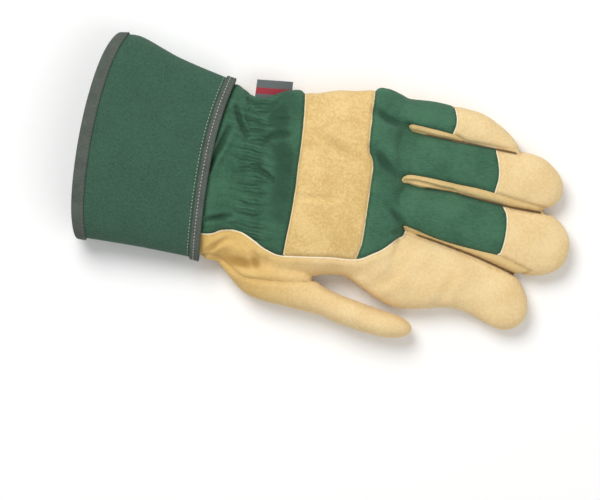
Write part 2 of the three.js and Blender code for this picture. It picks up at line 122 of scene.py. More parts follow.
DIGITS = {
    "little": [
        (24, 35.6, 53.6, 20.0, 9.0),
        (38, 36.1, 54.0, 20.0, 9.0),
        (52, 35.5, 55.1, 19.5, 9.0),
        (73, 35.9, 54.7, 18.5, 8.5),
        (83, 35.9, 52.6, 17.5, 8.0),
        (91, 35.8, 48.6, 16.0, 7.5),
        (102, 35.8, 42.0, 14.0, 7.0),
    ],
    "ring": [
        (20, 8.6, 36.0, 22.0, 10.5),
        (50, 7.2, 36.6, 21.5, 10.5),
        (70, 8.3, 37.1, 20.5, 10.0),
        (89, 7.0, 36.7, 19.5, 10.0),
        (108, 6.3, 37.4, 18.5, 9.0),
        (113, 6.9, 36.8, 18.0, 9.0),
        (129.5, 9.0, 32.0, 16.5, 8.5),
    ],
    "middle": [
        (20, -15.6, 8.0, 22.0, 10.5),
        (50, -17.0, 7.9, 21.5, 10.5),
        (70, -20.1, 9.2, 20.5, 10.0),
        (86, -23.0, 7.9, 20.0, 10.0),
        (104, -26.5, 7.0, 19.0, 9.5),
        (120, -27.4, 7.2, 18.0, 9.0),
        (139.4, -25.4, 5.2, 16.5, 8.5),
    ],
    "index": [
        (20, -46.0, -16.0, 20.0, 10.5),
        (40, -54.5, -16.0, 21.0, 10.5),
        (52, -58.2, -16.2, 21.0, 10.5),
        (66, -56.6, -18.3, 20.5, 10.0),
        (80, -53.4, -20.8, 20.0, 10.0),
        (92, -54.3, -23.0, 19.0, 9.5),
        (106, -58.7, -26.4, 18.0, 9.0),
        (123.4, -60.2, -33.0, 16.5, 8.5),
    ],
    "thumb": [
        (-48, -50.5, -32.0, 15.0, 8.0),
        (-38, -58.5, -33.0, 19.0, 9.5),
        (-29, -66.0, -36.0, 21.5, 10.5),
        (-18, -68.4, -41.0, 22.0, 11.0),
        (-4, -69.1, -46.0, 22.0, 11.0),
        (12, -69.8, -54.6, 22.0, 11.0),
        (26, -72.9, -57.8, 22.0, 11.0),
        (47, -75.8, -61.2, 21.0, 10.5),
        (64, -75.2, -62.6, 18.5, 9.5),
    ],
}
BOW_MIDDLE = 3.0  # where across the cuff its ends bow out most
BOW = {"wrist": (0.0011, 0.0026), "mouth": (0.0016, 0.0019)}  # of the cuff's ends, by side
WRIST_X = -60.0
MOUTH_X = -130.2
RING_STEP = 2.0


def curve_point(start, end, leave, arrive, t):
    """A point on the curve from start to end that leaves and arrives with those slopes."""
    return (
        start * (1 + 2 * t) * (1 - t) ** 2
        + end * t * t * (3 - 2 * t)
        + leave * t * (1 - t) ** 2
        - arrive * t * t * (1 - t)
    )


def along(rows, columns, x):
    """A table's row at x, on a smooth curve through its rows."""
    table = np.array(rows, float)
    at = table[:, 0]
    last = len(at) - 1
    i = int(np.clip(np.searchsorted(at, x) - 1, 0, last - 1))
    before, after = max(i - 1, 0), min(i + 2, last)
    slope = (table[i + 1] - table[before]) / (at[i + 1] - at[before])
    next_slope = (table[after] - table[i]) / (at[after] - at[i])
    step = at[i + 1] - at[i]
    t = float(np.clip((x - at[i]) / step, 0, 1))
    row = curve_point(table[i], table[i + 1], slope * step, next_slope * step, t)
    return {**dict(zip(columns, row)), "x": x}


def bow(x, y):
    """How far the cuff's ends curve along the arm at a point in plan."""
    share = np.clip((WRIST_X - x) / (WRIST_X - MOUTH_X), 0, 1)
    low, high = (a + (b - a) * share for a, b in zip(BOW["wrist"], BOW["mouth"]))
    return np.where(y > BOW_MIDDLE, high, low) * (y - BOW_MIDDLE) ** 2


def section(row, upper, lower, grow=0.0):
    """Points round a section, from the little finger's side over the top."""
    turn = np.concatenate(
        [
            np.linspace(0, math.pi, upper, endpoint=False),
            np.linspace(math.pi, 2 * math.pi, lower, endpoint=False),
        ]
    )
    c, s = np.cos(turn), np.sin(turn)
    mid, half = (row["low"] + row["high"]) / 2, (row["high"] - row["low"]) / 2
    y = mid + (half + grow) * np.sign(c) * np.abs(c) ** (2 / ROUND)
    rise = (row["top"] - row["side"] + grow) * np.abs(s) ** (2 / ROUND)
    drop = (row["side"] - row["floor"] + grow) * np.abs(s) ** (2 / FLAT)
    z = row["side"] + np.where(s > 0, rise, -drop)
    return np.stack([np.full_like(y, row["x"]), y, z], 1)


def draw_in(row, width, height):
    """Makes a section's width and height a share of what they were."""
    mid, half = (row["low"] + row["high"]) / 2, (row["high"] - row["low"]) / 2 * width
    row["low"], row["high"] = mid - half, mid + half
    row["top"] = row["side"] + (row["top"] - row["side"]) * height
    row["floor"] = row["side"] - (row["side"] - row["floor"]) * height


def digit_rings(rows):
    """Rings along a finger or the thumb, drawn in round its tip."""
    tip, shoulder = rows[-1][0], rows[-2][0]
    places = list(np.arange(rows[0][0], shoulder, RING_STEP))
    places += [shoulder + (tip - shoulder) * share for share in np.sin(np.linspace(0, 1.52, 14))]
    for x in places:
        row = along(rows, COLUMNS, x)
        row["floor"] = 0.0
        share = max((x - shoulder) / (tip - shoulder), 0)
        draw_in(row, (1 - share**2.4) ** (1 / 2.4), (1 - share**2.6) ** (1 / 2.6))
        yield section(row, 40, 32)


def hand_rings():
    """Rings along the hand, drawn in where the fingers start."""
    front, rounding = 46.0, 9.0
    places = list(np.arange(HAND[0][0] - 4.5, front - rounding, 1.5))
    places += [front - rounding * (1 - share) for share in np.sin(np.linspace(0, 1.5, 10))]
    for x in places:
        row = along(HAND, HAND_COLUMNS, x)
        share = max((x - front + rounding) / rounding, 0)
        draw_in(row, 1, math.sqrt(1 - share**2))
        ring = section(row, 90, 60)
        by_cuff = np.clip((-30 - x) / 30, 0, 1)
        ring[:, 0] += row["skew"] * (ring[:, 1] - 5) + by_cuff * bow(x, ring[:, 1])
        yield ring


def between_rings(pairs, count):
    """Faces between pairs of rings, each of count points."""
    return [
        (a * count + i, a * count + (i + 1) % count, b * count + (i + 1) % count, b * count + i)
        for a, b in pairs
        for i in range(count)
    ]


def closed_loft(rings):
    """Vertices and faces of a closed body through rings of points."""
    rings = list(rings)
    count = len(rings[0])
    vertices = np.concatenate(rings + [[rings[0].mean(0)], [rings[-1].mean(0)]])
    faces = between_rings([(k, k + 1) for k in range(len(rings) - 1)], count)
    first, end = len(vertices) - 2, len(vertices) - 1
    last = (len(rings) - 1) * count
    for i in range(count):
        j = (i + 1) % count
        faces.append((first, j, i))
        faces.append((end, last + i, last + j))
    return vertices, faces


def in_scene(name, points, faces, edges=()):
    """A new object in the scene from its points and its faces or edges."""
    mesh = bpy.data.meshes.new(name)
    mesh.from_pydata(points.tolist(), edges, faces)
    made = bpy.data.objects.new(name, mesh)
    bpy.context.scene.collection.objects.link(made)
    return made


def settled(rough):
    """Points and triangles of an object after its modifiers. The object is removed."""
    bpy.context.view_layer.update()
    made = rough.evaluated_get(bpy.context.evaluated_depsgraph_get()).to_mesh()
    points = np.empty(len(made.vertices) * 3)
    made.vertices.foreach_get("co", points)
    faces = np.empty(len(made.polygons) * 3, int)
    made.polygons.foreach_get("vertices", faces)
    mesh = rough.data
    bpy.data.objects.remove(rough)
    bpy.data.meshes.remove(mesh)
    return points.reshape(-1, 3), faces.reshape(-1, 3)


bodies = [closed_loft(hand_rings())] + [closed_loft(digit_rings(DIGITS[d])) for d in DIGITS]
skin_points, skin_faces, used = [], [], 0
for vertices, faces in bodies:
    skin_points.append(vertices)
    skin_faces += [tuple(i + used for i in face) for face in faces]
    used += len(vertices)
rough_skin = in_scene("rough_skin", np.concatenate(skin_points), skin_faces)
fuse = rough_skin.modifiers.new("fuse", "REMESH")
fuse.mode = "VOXEL"
fuse.voxel_size = SKIN_GRAIN
ease = rough_skin.modifiers.new("ease", "SMOOTH")
ease.factor = 0.5
ease.iterations = 11
rough_skin.modifiers.new("even", "TRIANGULATE")
skin, triangles = settled(rough_skin)

# The creases where two fingers meet, in plan.
CREASES = [
    [(50.5, -16.7), (64, -18.6), (80, -21.2), (92, -23.4), (106, -26.8), (113, -28.6)],
    [(50, 7.5), (58, 8.0), (70, 8.75), (86, 7.6), (104, 6.75), (120, 7.1)],
    [(46, 36.5), (58, 36.2), (72, 36.4), (90, 36.1), (101, 36.1)],
]
CREASE_REACH = 1.6
# The folds in plan: how wide each is, how deep a groove, and its line. A depth under 0 is a bulge.
FOLDS = [
    # from the tape towards the elastic
    (1.6, 2.7, [(-51.7, 31.2), (-48.8, 24.6), (-43.5, 17.4)]),
    (1.8, 2.6, [(-53.6, 19.6), (-56.0, 10.6), (-58.3, 4.1), (-59.8, -3.9)]),
    (1.5, 1.9, [(-56.3, -31.3), (-48.4, -28.1), (-43.7, -26.9)]),
    (1.2, 0.8, [(-50, -29.5), (-43.5, -30.5), (-38, -32.5)]),
    # hollows of the gathered back
    (1.1, 1.7, [(-45.8, 37.0), (-40.1, 35.6), (-34.6, 36.3), (-30.5, 39.6)]),
    (1.0, 1.5, [(-44.7, 34.6), (-40.6, 33.2), (-35.3, 34.2), (-31.0, 37.3)]),
    (0.9, 1.2, [(-43.7, 32.0), (-39.1, 31.2), (-35.1, 32.6), (-32.3, 35.2)]),
    (1.9, 1.9, [(-35.3, 14.6), (-31.8, 19.1), (-26.7, 21.2), (-21.9, 22.1)]),
    (6.0, 2.3, [(-28.4, 31.2), (-27.8, 28.4)]),
    (1.1, 1.5, [(-37.5, 2.4), (-33.8, 1.1), (-29.3, -0.7), (-25.1, -3.8)]),
    (6.5, 1.1, [(-30, 33), (-25, 20), (-21.0, 8.0), (-19.0, -6.0), (-18.0, -20.0)]),
    # in the strap
    (1.7, 0.8, [(-11, -9.7), (-2, -9.0), (10, -7.4)]),
    (5.5, 1.2, [(-13, 30.3), (-3, 26), (7, 21.5), (24, 17.3)]),
    # into the forks of the fingers
    (2.6, 2.0, [(21.6, 44.6), (29.5, 40.9), (39.2, 39.0)]),
    (5.0, -1.1, [(24.8, 54.0), (32.7, 52.5)]),
    (0.9, 1.2, [(44.8, 10.2), (51.0, 10.7), (57.1, 10.6), (64, 10.2), (72, 9.6)]),
    (3.2, 2.3, [(25.7, 23.7), (32.4, 17.3), (39.8, 11.9)]),
    (2.0, 1.6, [(38.4, -5.2), (47.0, -12.3), (50.3, -15.5)]),
    (1.6, 1.1, [(42.1, -19.9), (48.5, -17.3)]),
    # in the leather beside the thumb
    (1.6, 1.4, [(-55.5, -49.8), (-52.3, -47.6), (-47.8, -42.8), (-42.9, -39.7)]),
    (3.8, 2.5, [(-46.5, -48.2), (-38.0, -50.0), (-31.0, -50.2), (-21.0, -48.0)]),
    (1.8, 0.9, [(-29.7, -41.4), (-27.0, -46.5), (-24.0, -52.0)]),
    # across the palm side of the first finger
    (3.4, 0.9, [(38, -50), (46, -44), (52, -36)]),
    (3.0, 0.7, [(74, -54), (78, -44), (80, -34)]),
]


def from_line(x, y, line):
    """How far points are from a line in plan, and how far along it."""
    line = np.array(line, float)
    lengths = np.hypot(*np.diff(line, axis=0).T)
    away, share = np.full(len(x), 1e9), np.zeros(len(x))
    for i, length in enumerate(lengths):
        run = line[i + 1] - line[i]
        t = np.clip(((x - line[i, 0]) * run[0] + (y - line[i, 1]) * run[1]) / length**2, 0, 1)
        d = np.hypot(x - line[i, 0] - t * run[0], y - line[i, 1] - t * run[1])
        nearer = d < away
        away = np.where(nearer, d, away)
        share = np.where(nearer, (lengths[:i].sum() + t * length) / lengths.sum(), share)
    return away, share


def fold_relief(x, y):
    """Height of the folds in plan: a groove with a low roll on each side."""
    relief = np.zeros_like(x)
    for wide, deep, line in FOLDS:
        away, share = from_line(x, y, line)
        fade = 0.35 + 0.65 * np.sin(math.pi * np.clip(share, 0.06, 0.94))
        away = away / wide
        relief += deep * fade * (0.4 * np.exp(-((away - 1.7) ** 2) / 0.7) - np.exp(-(away**2)))
    return relief


def crease_depth(x, y):
    """0 away from the creases between fingers, 1 in them."""
    depth = np.zeros_like(x)
    for line in CREASES:
        away, share = from_line(x, y, line)
        near = np.clip(CREASE_REACH - away, 0, CREASE_REACH) / CREASE_REACH
        depth = np.maximum(depth, near * np.clip(share * 8, 0.3, 1))
    return depth


GRID = 32
lattice = np.random.default_rng(11).random((GRID, GRID, GRID)) * 2 - 1


def rolling(points, size, seed=0.0):
    """Smooth random relief between -1 and 1, with hills about as wide as size."""
    p = points / np.asarray(size, float) + seed
    cell = np.floor(p).astype(int)
    f = p - cell
    f = f * f * (3 - 2 * f)
    total = 0.0
    for corner in np.ndindex(2, 2, 2):
        near = np.where(corner, f, 1 - f)
        at = (cell + corner) % GRID
        total = total + near[:, 0] * near[:, 1] * near[:, 2] * lattice[tuple(at.T)]
    return total


def unit(vectors):
    """The same directions, each with a length of 1."""
    return vectors / np.maximum(np.linalg.norm(vectors, axis=1), 1e-12)[:, None]


def sides_of(faces):
    """The three edges of every face, all firsts, then all seconds, then all thirds."""
    return np.concatenate([faces[:, [0, 1]], faces[:, [1, 2]], faces[:, [2, 0]]])


def normals_of(points, faces):
    """The direction out of the surface at each point."""
    a, b, c = points[faces[:, 0]], points[faces[:, 1]], points[faces[:, 2]]
    face_normals = np.cross(b - a, c - a)
    summed = np.zeros_like(points)
    for k in range(3):
        np.add.at(summed, faces[:, k], face_normals)
    return unit(summed)


def off_table(points):
    """How free of the table a point is, from 0 where it lies on it to 1."""
    return np.clip(points[:, 2] / 3.0, 0, 1)


def upward(out):
    """1 where the surface looks up, 0 where it looks sideways or down."""
    return np.clip(out[:, 2] * 2.5 + 0.2, 0, 1)


normals = normals_of(skin, triangles)
folded = fold_relief(skin[:, 0], skin[:, 1]) - 0.8 * crease_depth(skin[:, 0], skin[:, 1])
relief = folded * upward(normals)
relief += 0.55 * rolling(skin, (17, 12, 12), 0.3) + 0.25 * rolling(skin, (8, 6, 6), 5.1)
skin = skin + normals * (relief * off_table(skin))[:, None]
skin[:, 2] = np.maximum(skin[:, 2], 0)


def smooth_line(*points):
    """A finer line through the points of a seam."""
    p = np.array(points, float)
    line = []
    for i in range(len(p) - 1):
        before, after = p[max(i - 1, 0)], p[min(i + 2, len(p) - 1)]
        leave, arrive = (p[i + 1] - before) / 2, (after - p[i]) / 2
        for t in np.linspace(0, 1, 5, endpoint=False):
            line.append(curve_point(p[i], p[i + 1], leave, arrive, t))
    return [tuple(q) for q in line] + [tuple(p[-1])]


def inside(points, outline):
    """Distance in plan from an outline's edge, positive inside it."""
    edge = np.array(outline, float)
    x, y = points[:, 0], points[:, 1]
    nearest = np.full(len(x), 1e9)
    within = np.zeros(len(x), bool)
    for (x0, y0), (x1, y1) in zip(edge, np.roll(edge, -1, axis=0)):
        run_x, run_y = x1 - x0, y1 - y0
        square = max(run_x**2 + run_y**2, 1e-9)
        share = np.clip(((x - x0) * run_x + (y - y0) * run_y) / square, 0, 1)
        nearest = np.minimum(nearest, np.hypot(x - x0 - share * run_x, y - y0 - share * run_y))
        if y0 != y1:
            crosses = (y0 > y) != (y1 > y)
            within ^= crosses & (x < x0 + (y - y0) * run_x / run_y)
    return np.where(within, nearest, -nearest)


def cut(points, faces, side, least=0.02):
    """Splits faces where side changes sign; gives the points, and the faces on each side."""
    on_edge = np.abs(side) < least
    has_inner = ((side > 0) & ~on_edge)[faces].any(1)
    has_outer = ((side < 0) & ~on_edge)[faces].any(1)
    side = np.where(on_edge, least, side)
    above = side > 0
    kept, rest = faces[has_inner & ~has_outer], faces[~has_inner]
    mixed = faces[has_inner & has_outer]
    lone = np.where(above[mixed].sum(1)[:, None] == 1, above[mixed], ~above[mixed])
    start = lone.argmax(1)
    rows = np.arange(len(mixed))
    a, b, c = (mixed[rows, (start + k) % 3] for k in range(3))
    edges = np.sort(np.concatenate([np.stack([a, b], 1), np.stack([a, c], 1)]), axis=1)
    unique, back = np.unique(edges, axis=0, return_inverse=True)
    back = back.reshape(-1)
    share = side[unique[:, 0]] / (side[unique[:, 0]] - side[unique[:, 1]])
    new = points[unique[:, 0]] * (1 - share[:, None]) + points[unique[:, 1]] * share[:, None]
    ab, ac = back[: len(a)] + len(points), back[len(a) :] + len(points)
    tip_faces = np.stack([a, ab, ac], 1)
    base_faces = np.concatenate([np.stack([ab, b, c], 1), np.stack([ab, c, ac], 1)])
    tip_above = above[a]
    twice = np.concatenate([tip_above, tip_above])
    kept = np.concatenate([kept, tip_faces[tip_above], base_faces[~twice]])
    rest = np.concatenate([rest, tip_faces[~tip_above], base_faces[twice]])
    return np.concatenate([points, new]), kept, rest


# The seams in plan. The back and the palm meet in a seam round the hand's edge, low on its side,
# and each panel reaches down to its own floor there.
SIDE_SEAM = 9.0
BACK_FLOOR = SIDE_SEAM - 1
CAP_FLOOR = 8.0
FORK_FLOOR = 4.5
UNDER_TABLE = -5.0
BEYOND = 80.0  # well outside the glove
BACK_SEAM = smooth_line(
    (-75, -41), (-54.6, -38.7), (-47.6, -35.4), (-41.8, -34), (-36.8, -34.3), (-29, -37.5),
    (-21.7, -41), (-14.2, -42.6), (-3, -41.3), (13, -38.7), (27, -37.1), (35.4, -32.2),
    (41, -28), (49.4, -19.4),
)
STRAP_WRIST_EDGE = smooth_line(
    (-12.6, -45), (-12.3, -33), (-12.2, -19), (-12.7, -5), (-13.7, 8), (-14.3, 22),
    (-15.2, 33), (-17, 46),
)
STRAP_KNUCKLE_EDGE = smooth_line(
    (28.1, -40), (28.6, -25), (27.7, -6), (27, 9), (25.8, 17.5), (23.4, 21.5), (21.8, 30),
    (20.6, 46), (19.4, 56),
)
LITTLE_TIP_EDGE = smooth_line(
    (65.2, 36), (65.2, 38.4), (66.3, 44), (65.8, 49), (64, 54), (63, 58)
)
RING_TIP_EDGE = smooth_line(
    (93, 9), (93.4, 12.6), (94.1, 21), (92.6, 28.5), (89.9, 36), (88, 40)
)
MIDDLE_TIP_EDGE = smooth_line(
    (99.4, -26), (101.4, -20), (102.8, -18.2), (103.6, -10.5), (103.1, -2), (101.5, 4),
    (98.6, 7.2),
)
LITTLE_RING_FORK = smooth_line(
    (42.4, 37.2), (44.6, 36.5), (53.6, 36.3), (64.6, 36.3), (72.4, 36.4), (69.6, 37.8),
    (65.6, 38.9), (58, 39.5), (47, 39.9), (42.8, 39.9), (41.0, 38.8), (42.4, 37.2),
)[:-1]
RING_MIDDLE_FORK = (
    smooth_line(
        (46, 8.4), (53.5, 7.8), (59, 8.2), (70, 8.8), (82, 7.9), (98, 6.9), (112, 6.7),
        (124, 7.2),
    )
    + smooth_line(
        (124, 9.4), (108, 10.5), (93.4, 12.2), (84, 12.9), (73, 12.9), (61, 13.5), (51, 13.5),
        (46.6, 13.1), (44.2, 12.0), (43.4, 10.5), (44.2, 9.2), (46, 8.4),
    )[:-1]
)
MIDDLE_INDEX_FORK = (
    smooth_line(
        (50.0, -16.6), (64, -18.6), (72.6, -19.9), (80, -21.3), (90, -23.2), (104, -26.1),
        (113, -28.6),
    )
    + smooth_line(
        (121, -25.8), (108, -21.9), (101.4, -20.4), (91.2, -20.1), (79.4, -19.5), (72, -18.7),
        (63.6, -17.4), (50.2, -14.7), (49, -15.2),
    )
)
THUMB_SEAM = smooth_line(
    (-55, -50.5), (-48, -49.6), (-40, -53), (-32, -57.6), (-22, -57.6), (-8, -55.6), (4, -52.6),
    (13, -50.8), (22, -52.6), (34, -54.6), (44, -57.8), (60, -60.4), (80, -60.4),
)
PANELS = {
    "knuckle_strap": (
        BACK_FLOOR,
        STRAP_WRIST_EDGE[4:]
        + [(-17, BEYOND), (19.4, BEYOND)]
        + STRAP_KNUCKLE_EDGE[::-1][:-4]
        + [p for p in BACK_SEAM[::-1] if -12.4 < p[0] < 28],
    ),
    "wrist_back": (
        SIDE_SEAM,
        [p for p in BACK_SEAM if p[0] < -10] + [(-8, BEYOND), (-75, BEYOND)],
    ),
    "little_ring_fourchette": (FORK_FLOOR, LITTLE_RING_FORK),
    "ring_middle_fourchette": (FORK_FLOOR, RING_MIDDLE_FORK),
    "middle_index_fourchette": (FORK_FLOOR, MIDDLE_INDEX_FORK),
    "little_fingertip": (
        CAP_FLOOR,
        LITTLE_TIP_EDGE + [(63, BEYOND), (103.6, BEYOND), (103.6, 36.2)],
    ),
    "ring_fingertip": (
        CAP_FLOOR,
        RING_TIP_EDGE + [(104, 42), (145, 42), (145, 7.4), (92, 7.4)],
    ),
    "middle_fingertip": (
        CAP_FLOOR,
        MIDDLE_TIP_EDGE + [(124, 7.2), (150, 8.0), (150, -27.4), (110, -27.4)],
    ),
    "hand_back": (
        BACK_FLOOR,
        [p for p in BACK_SEAM if p[0] > -10]
        + [(50.4, -15.6), (64, -18.1), (80, -20.5), (92, -21.9), (108, -23.1)]
        + [(108, BEYOND), (-10, BEYOND)],
    ),
    "thumb": (UNDER_TABLE, THUMB_SEAM + [(90, -95), (-60, -95)]),
}


def main_part(faces, least=80):
    """The faces that hang together, and the loose crumbs of the cut."""
    parent = np.arange(faces.max() + 1)
    while True:
        low = parent[faces].min(1)
        fresh = parent.copy()
        for k in range(3):
            np.minimum.at(fresh, faces[:, k], low)
        fresh = fresh[fresh]
        if np.array_equal(fresh, parent):
            break
        parent = fresh
    groups = np.unique(parent[faces[:, 0]], return_inverse=True, return_counts=True)
    main = groups[2][groups[1].reshape(-1)] >= least
    return faces[main], faces[~main]


panel_faces = {}
wrist_end = skin[:, 0] - bow(WRIST_X, skin[:, 1]) - WRIST_X
skin, left, _ = cut(skin, triangles, wrist_end)
for name, (floor, outline) in PANELS.items():
    side = np.minimum(inside(skin, outline), skin[:, 2] - floor)
    skin, taken, left = cut(skin, left, side)
    panel_faces[name], crumbs = main_part(taken)
    left = np.concatenate([left, crumbs])
panel_faces["palm"], _ = main_part(left)


def softened(normals, faces):
    """Normals averaged with their neighbours', so that edges turn in evenly in a crease."""
    a, b = sides_of(faces).T
    for _ in range(4):
        summed = normals.copy()
        np.add.at(summed, a, normals[b])
        np.add.at(summed, b, normals[a])
        normals = unit(summed)
    return normals


panelled = np.concatenate(list(panel_faces.values()))
skin_normals = softened(normals_of(skin, panelled), panelled)


# Palm. One piece of split leather covers the palm and the fronts of the fingers, wraps the thumb's
# side and makes the whole first finger. Its edges are turned in where they meet the back, and its
# inner side is covered with fleece, as each panel's is.
PANEL_WALL = 2.1
FAR = 20.0  # a distance past which nothing changes


def border_of(faces):
    """The edges that only one face has, as each face runs along them."""
    directed = sides_of(faces)
    low, high = directed.min(1), directed.max(1)
    unique, back, counts = np.unique(
        low * (high.max() + 1) + high, return_inverse=True, return_counts=True
    )
    return directed[counts[back.reshape(-1)] == 1]


def nearest_of(points):
    """A function that gives places' distances to the nearest of some points."""
    tree = kdtree.KDTree(len(points))
    for k, point in enumerate(points):
        tree.insert(point, k)
    tree.balance()
    return lambda places: np.array([tree.find(place)[2] for place in places])


def upper_edge_of(*names):
    """Distance finder to the seams round the named panels, above the side seam."""
    edge = skin[np.unique(np.concatenate([border_of(panel_faces[name]) for name in names]))]
    past_tape = edge[:, 0] - bow(WRIST_X, edge[:, 1]) > WRIST_X + 1
    return nearest_of(edge[past_tape & (edge[:, 2] > SIDE_SEAM + 2)])


def piece_from(name, points, faces, smooth=True):
    """A piece of the glove, from points in the drawing."""
    made = in_scene(name, (points + DRAWN) * MM, faces)
    made.data.polygons.foreach_set("use_smooth", [smooth] * len(faces))
    return made


def mark(piece, **values):
    """Keeps numbers with a piece's points, which its finish reads by their names."""
    for label, value in values.items():
        piece.data.attributes.new(label, "FLOAT", "POINT").data.foreach_set("value", value)


def panel(name, sink=0.9, rim=1.3, wrinkle=None, finer=False, pale_edge=None):
    """One sewn panel: its edges turned in at the seams, its wall and its fleece side."""
    faces = panel_faces[name]
    used_points, back = np.unique(faces, return_inverse=True)
    faces = back.reshape(-1, 3)
    points, out = skin[used_points], skin_normals[used_points]
    if finer:
        fine = in_scene("fine", points, faces.tolist())
        split = fine.modifiers.new("split", "SUBSURF")
        split.levels = split.render_levels = 1
        split.boundary_smooth = "PRESERVE_CORNERS"
        fine.modifiers.new("even", "TRIANGULATE")
        points, faces = settled(fine)
        out = normals_of(points, faces)
    rim_edges = border_of(faces)
    seam = nearest_of(points[np.unique(rim_edges)])(points)
    roll = 0.22 * sink * np.exp(-(((seam - 3.2) / 1.6) ** 2))
    in_crease = crease_depth(points[:, 0], points[:, 1])
    lift = (-sink * np.exp(-((seam / rim) ** 2)) + roll) * (1 - 0.75 * in_crease)
    grooves = -fold_relief(points[:, 0], points[:, 1]) * upward(out)
    if wrinkle is not None:
        rise, depth = wrinkle(points, out)
        lift = lift + rise * np.clip(seam / 1.2, 0.15, 1)
        grooves = np.maximum(grooves, 0) + depth
    free = off_table(points)
    outer = points + out * (lift * free)[:, None]
    outer[:, 2] = np.maximum(outer[:, 2], 0)
    inner = points + out * (np.minimum(lift, 0) * free - PANEL_WALL)[:, None]
    n = len(points)
    start, end = rim_edges.T
    walls = [np.stack([end, start, start + n], 1), np.stack([end, start + n, end + n], 1)]
    all_faces = np.concatenate([faces, faces[:, ::-1] + n] + walls)
    made = piece_from(name + "_skin", np.concatenate([outer, inner]), all_faces.tolist())
    lined = np.zeros(len(all_faces), int)
    lined[len(faces) : 2 * len(faces)] = 1
    made.data.polygons.foreach_set("material_index", lined)
    edge = pale_edge(points) if pale_edge else np.full(n, FAR)
    crease = in_crease * np.clip(out[:, 2] * 5 + 0.5, 0, 1)
    # The finishes paint shade from seam, groove and crease: along the seams, in the folds and in
    # the creases between the fingers.
    both = {"seam": seam, "edge": edge, "groove": grooves, "crease": crease}
    mark(made, **{k: np.minimum(np.concatenate([v, v]), FAR) for k, v in both.items()})
    made.data.validate()
    return made


class Wire:
    """A socket of a finish, so that sums of sockets are written as sums."""

    def __init__(self, finish, socket):
        self.finish, self.socket = finish, socket

    def _sum(self, operation, a, b):
        return self.finish.node("ShaderNodeMath", {0: a, 1: b}, operation=operation)

    def __add__(self, other):
        return self._sum("ADD", self, other)

    def __radd__(self, other):
        return self._sum("ADD", other, self)

    def __sub__(self, other):
        return self._sum("SUBTRACT", self, other)

    def __rsub__(self, other):
        return self._sum("SUBTRACT", other, self)

    def __mul__(self, other):
        return self._sum("MULTIPLY", self, other)

    def __rmul__(self, other):
        return self._sum("MULTIPLY", other, self)


class Finish:
    """A material and its nodes."""

    def __init__(self, name):
        self.material = bpy.data.materials.new(name)
        self.material.use_nodes = True
        self.nodes = self.material.node_tree.nodes
        self.links = self.material.node_tree.links
        self.surface = self.nodes["Principled BSDF"]

    def node(self, kind, values=None, out=0, **settings):
        """Adds a node: its settings first, then the values or links of its sockets."""
        made = self.nodes.new(kind)
        for key, value in settings.items():
            setattr(made, key, value)
        for key, value in (values or {}).items():
            self.put(made.inputs[key], value)
        return Wire(self, made.outputs[out])

    def put(self, socket, value):
        """Links a socket to a wire, or sets it."""
        if isinstance(value, Wire):
            self.links.new(value.socket, socket)
        elif isinstance(value, tuple) and socket.type == "RGBA" and len(value) == 3:
            socket.default_value = (*value, 1)
        else:
            socket.default_value = value

    def set(self, **values):
        """Sets or links the surface's own sockets."""
        for key, value in values.items():
            self.put(self.surface.inputs[key.replace("_", " ")], value)

    def place(self, axis=None):
        """Where on the piece a point is, or how far along one of its axes."""
        at = self.node("ShaderNodeTexCoord", out="Object")
        return self.node("ShaderNodeSeparateXYZ", {0: at}, out=axis) if axis else at

    def kept(self, label):
        """A number that the piece keeps with its points."""
        return self.node("ShaderNodeAttribute", out="Fac", attribute_name=label)

    def noise(self, size_mm, detail=2.0, stretch=(1, 1, 1), rough=0.5):
        """An even random pattern, about size_mm wide."""
        scaled = self.node("ShaderNodeMapping", {"Vector": self.place(), "Scale": stretch})
        return self.node(
            "ShaderNodeTexNoise",
            {"Vector": scaled, "Scale": 1 / (size_mm * MM), "Detail": detail, "Roughness": rough},
        )

    def blend(self, share, a, b, how="MIX"):
        """A colour between a and b."""
        return self.node(
            "ShaderNodeMix", {0: share, 6: a, 7: b}, out=2, data_type="RGBA", blend_type=how
        )

    def between(self, value, low, high):
        """0 under low, 1 over high, smooth between."""
        return self.node(
            "ShaderNodeMapRange",
            {"Value": value, "From Min": low, "From Max": high},
            interpolation_type="SMOOTHSTEP",
        )

    def bump(self, height, strength, depth_mm):
        """Fine relief on the surface."""
        sizes = {"Height": height, "Strength": strength, "Distance": depth_mm * MM}
        self.set(Normal=self.node("ShaderNodeBump", sizes))


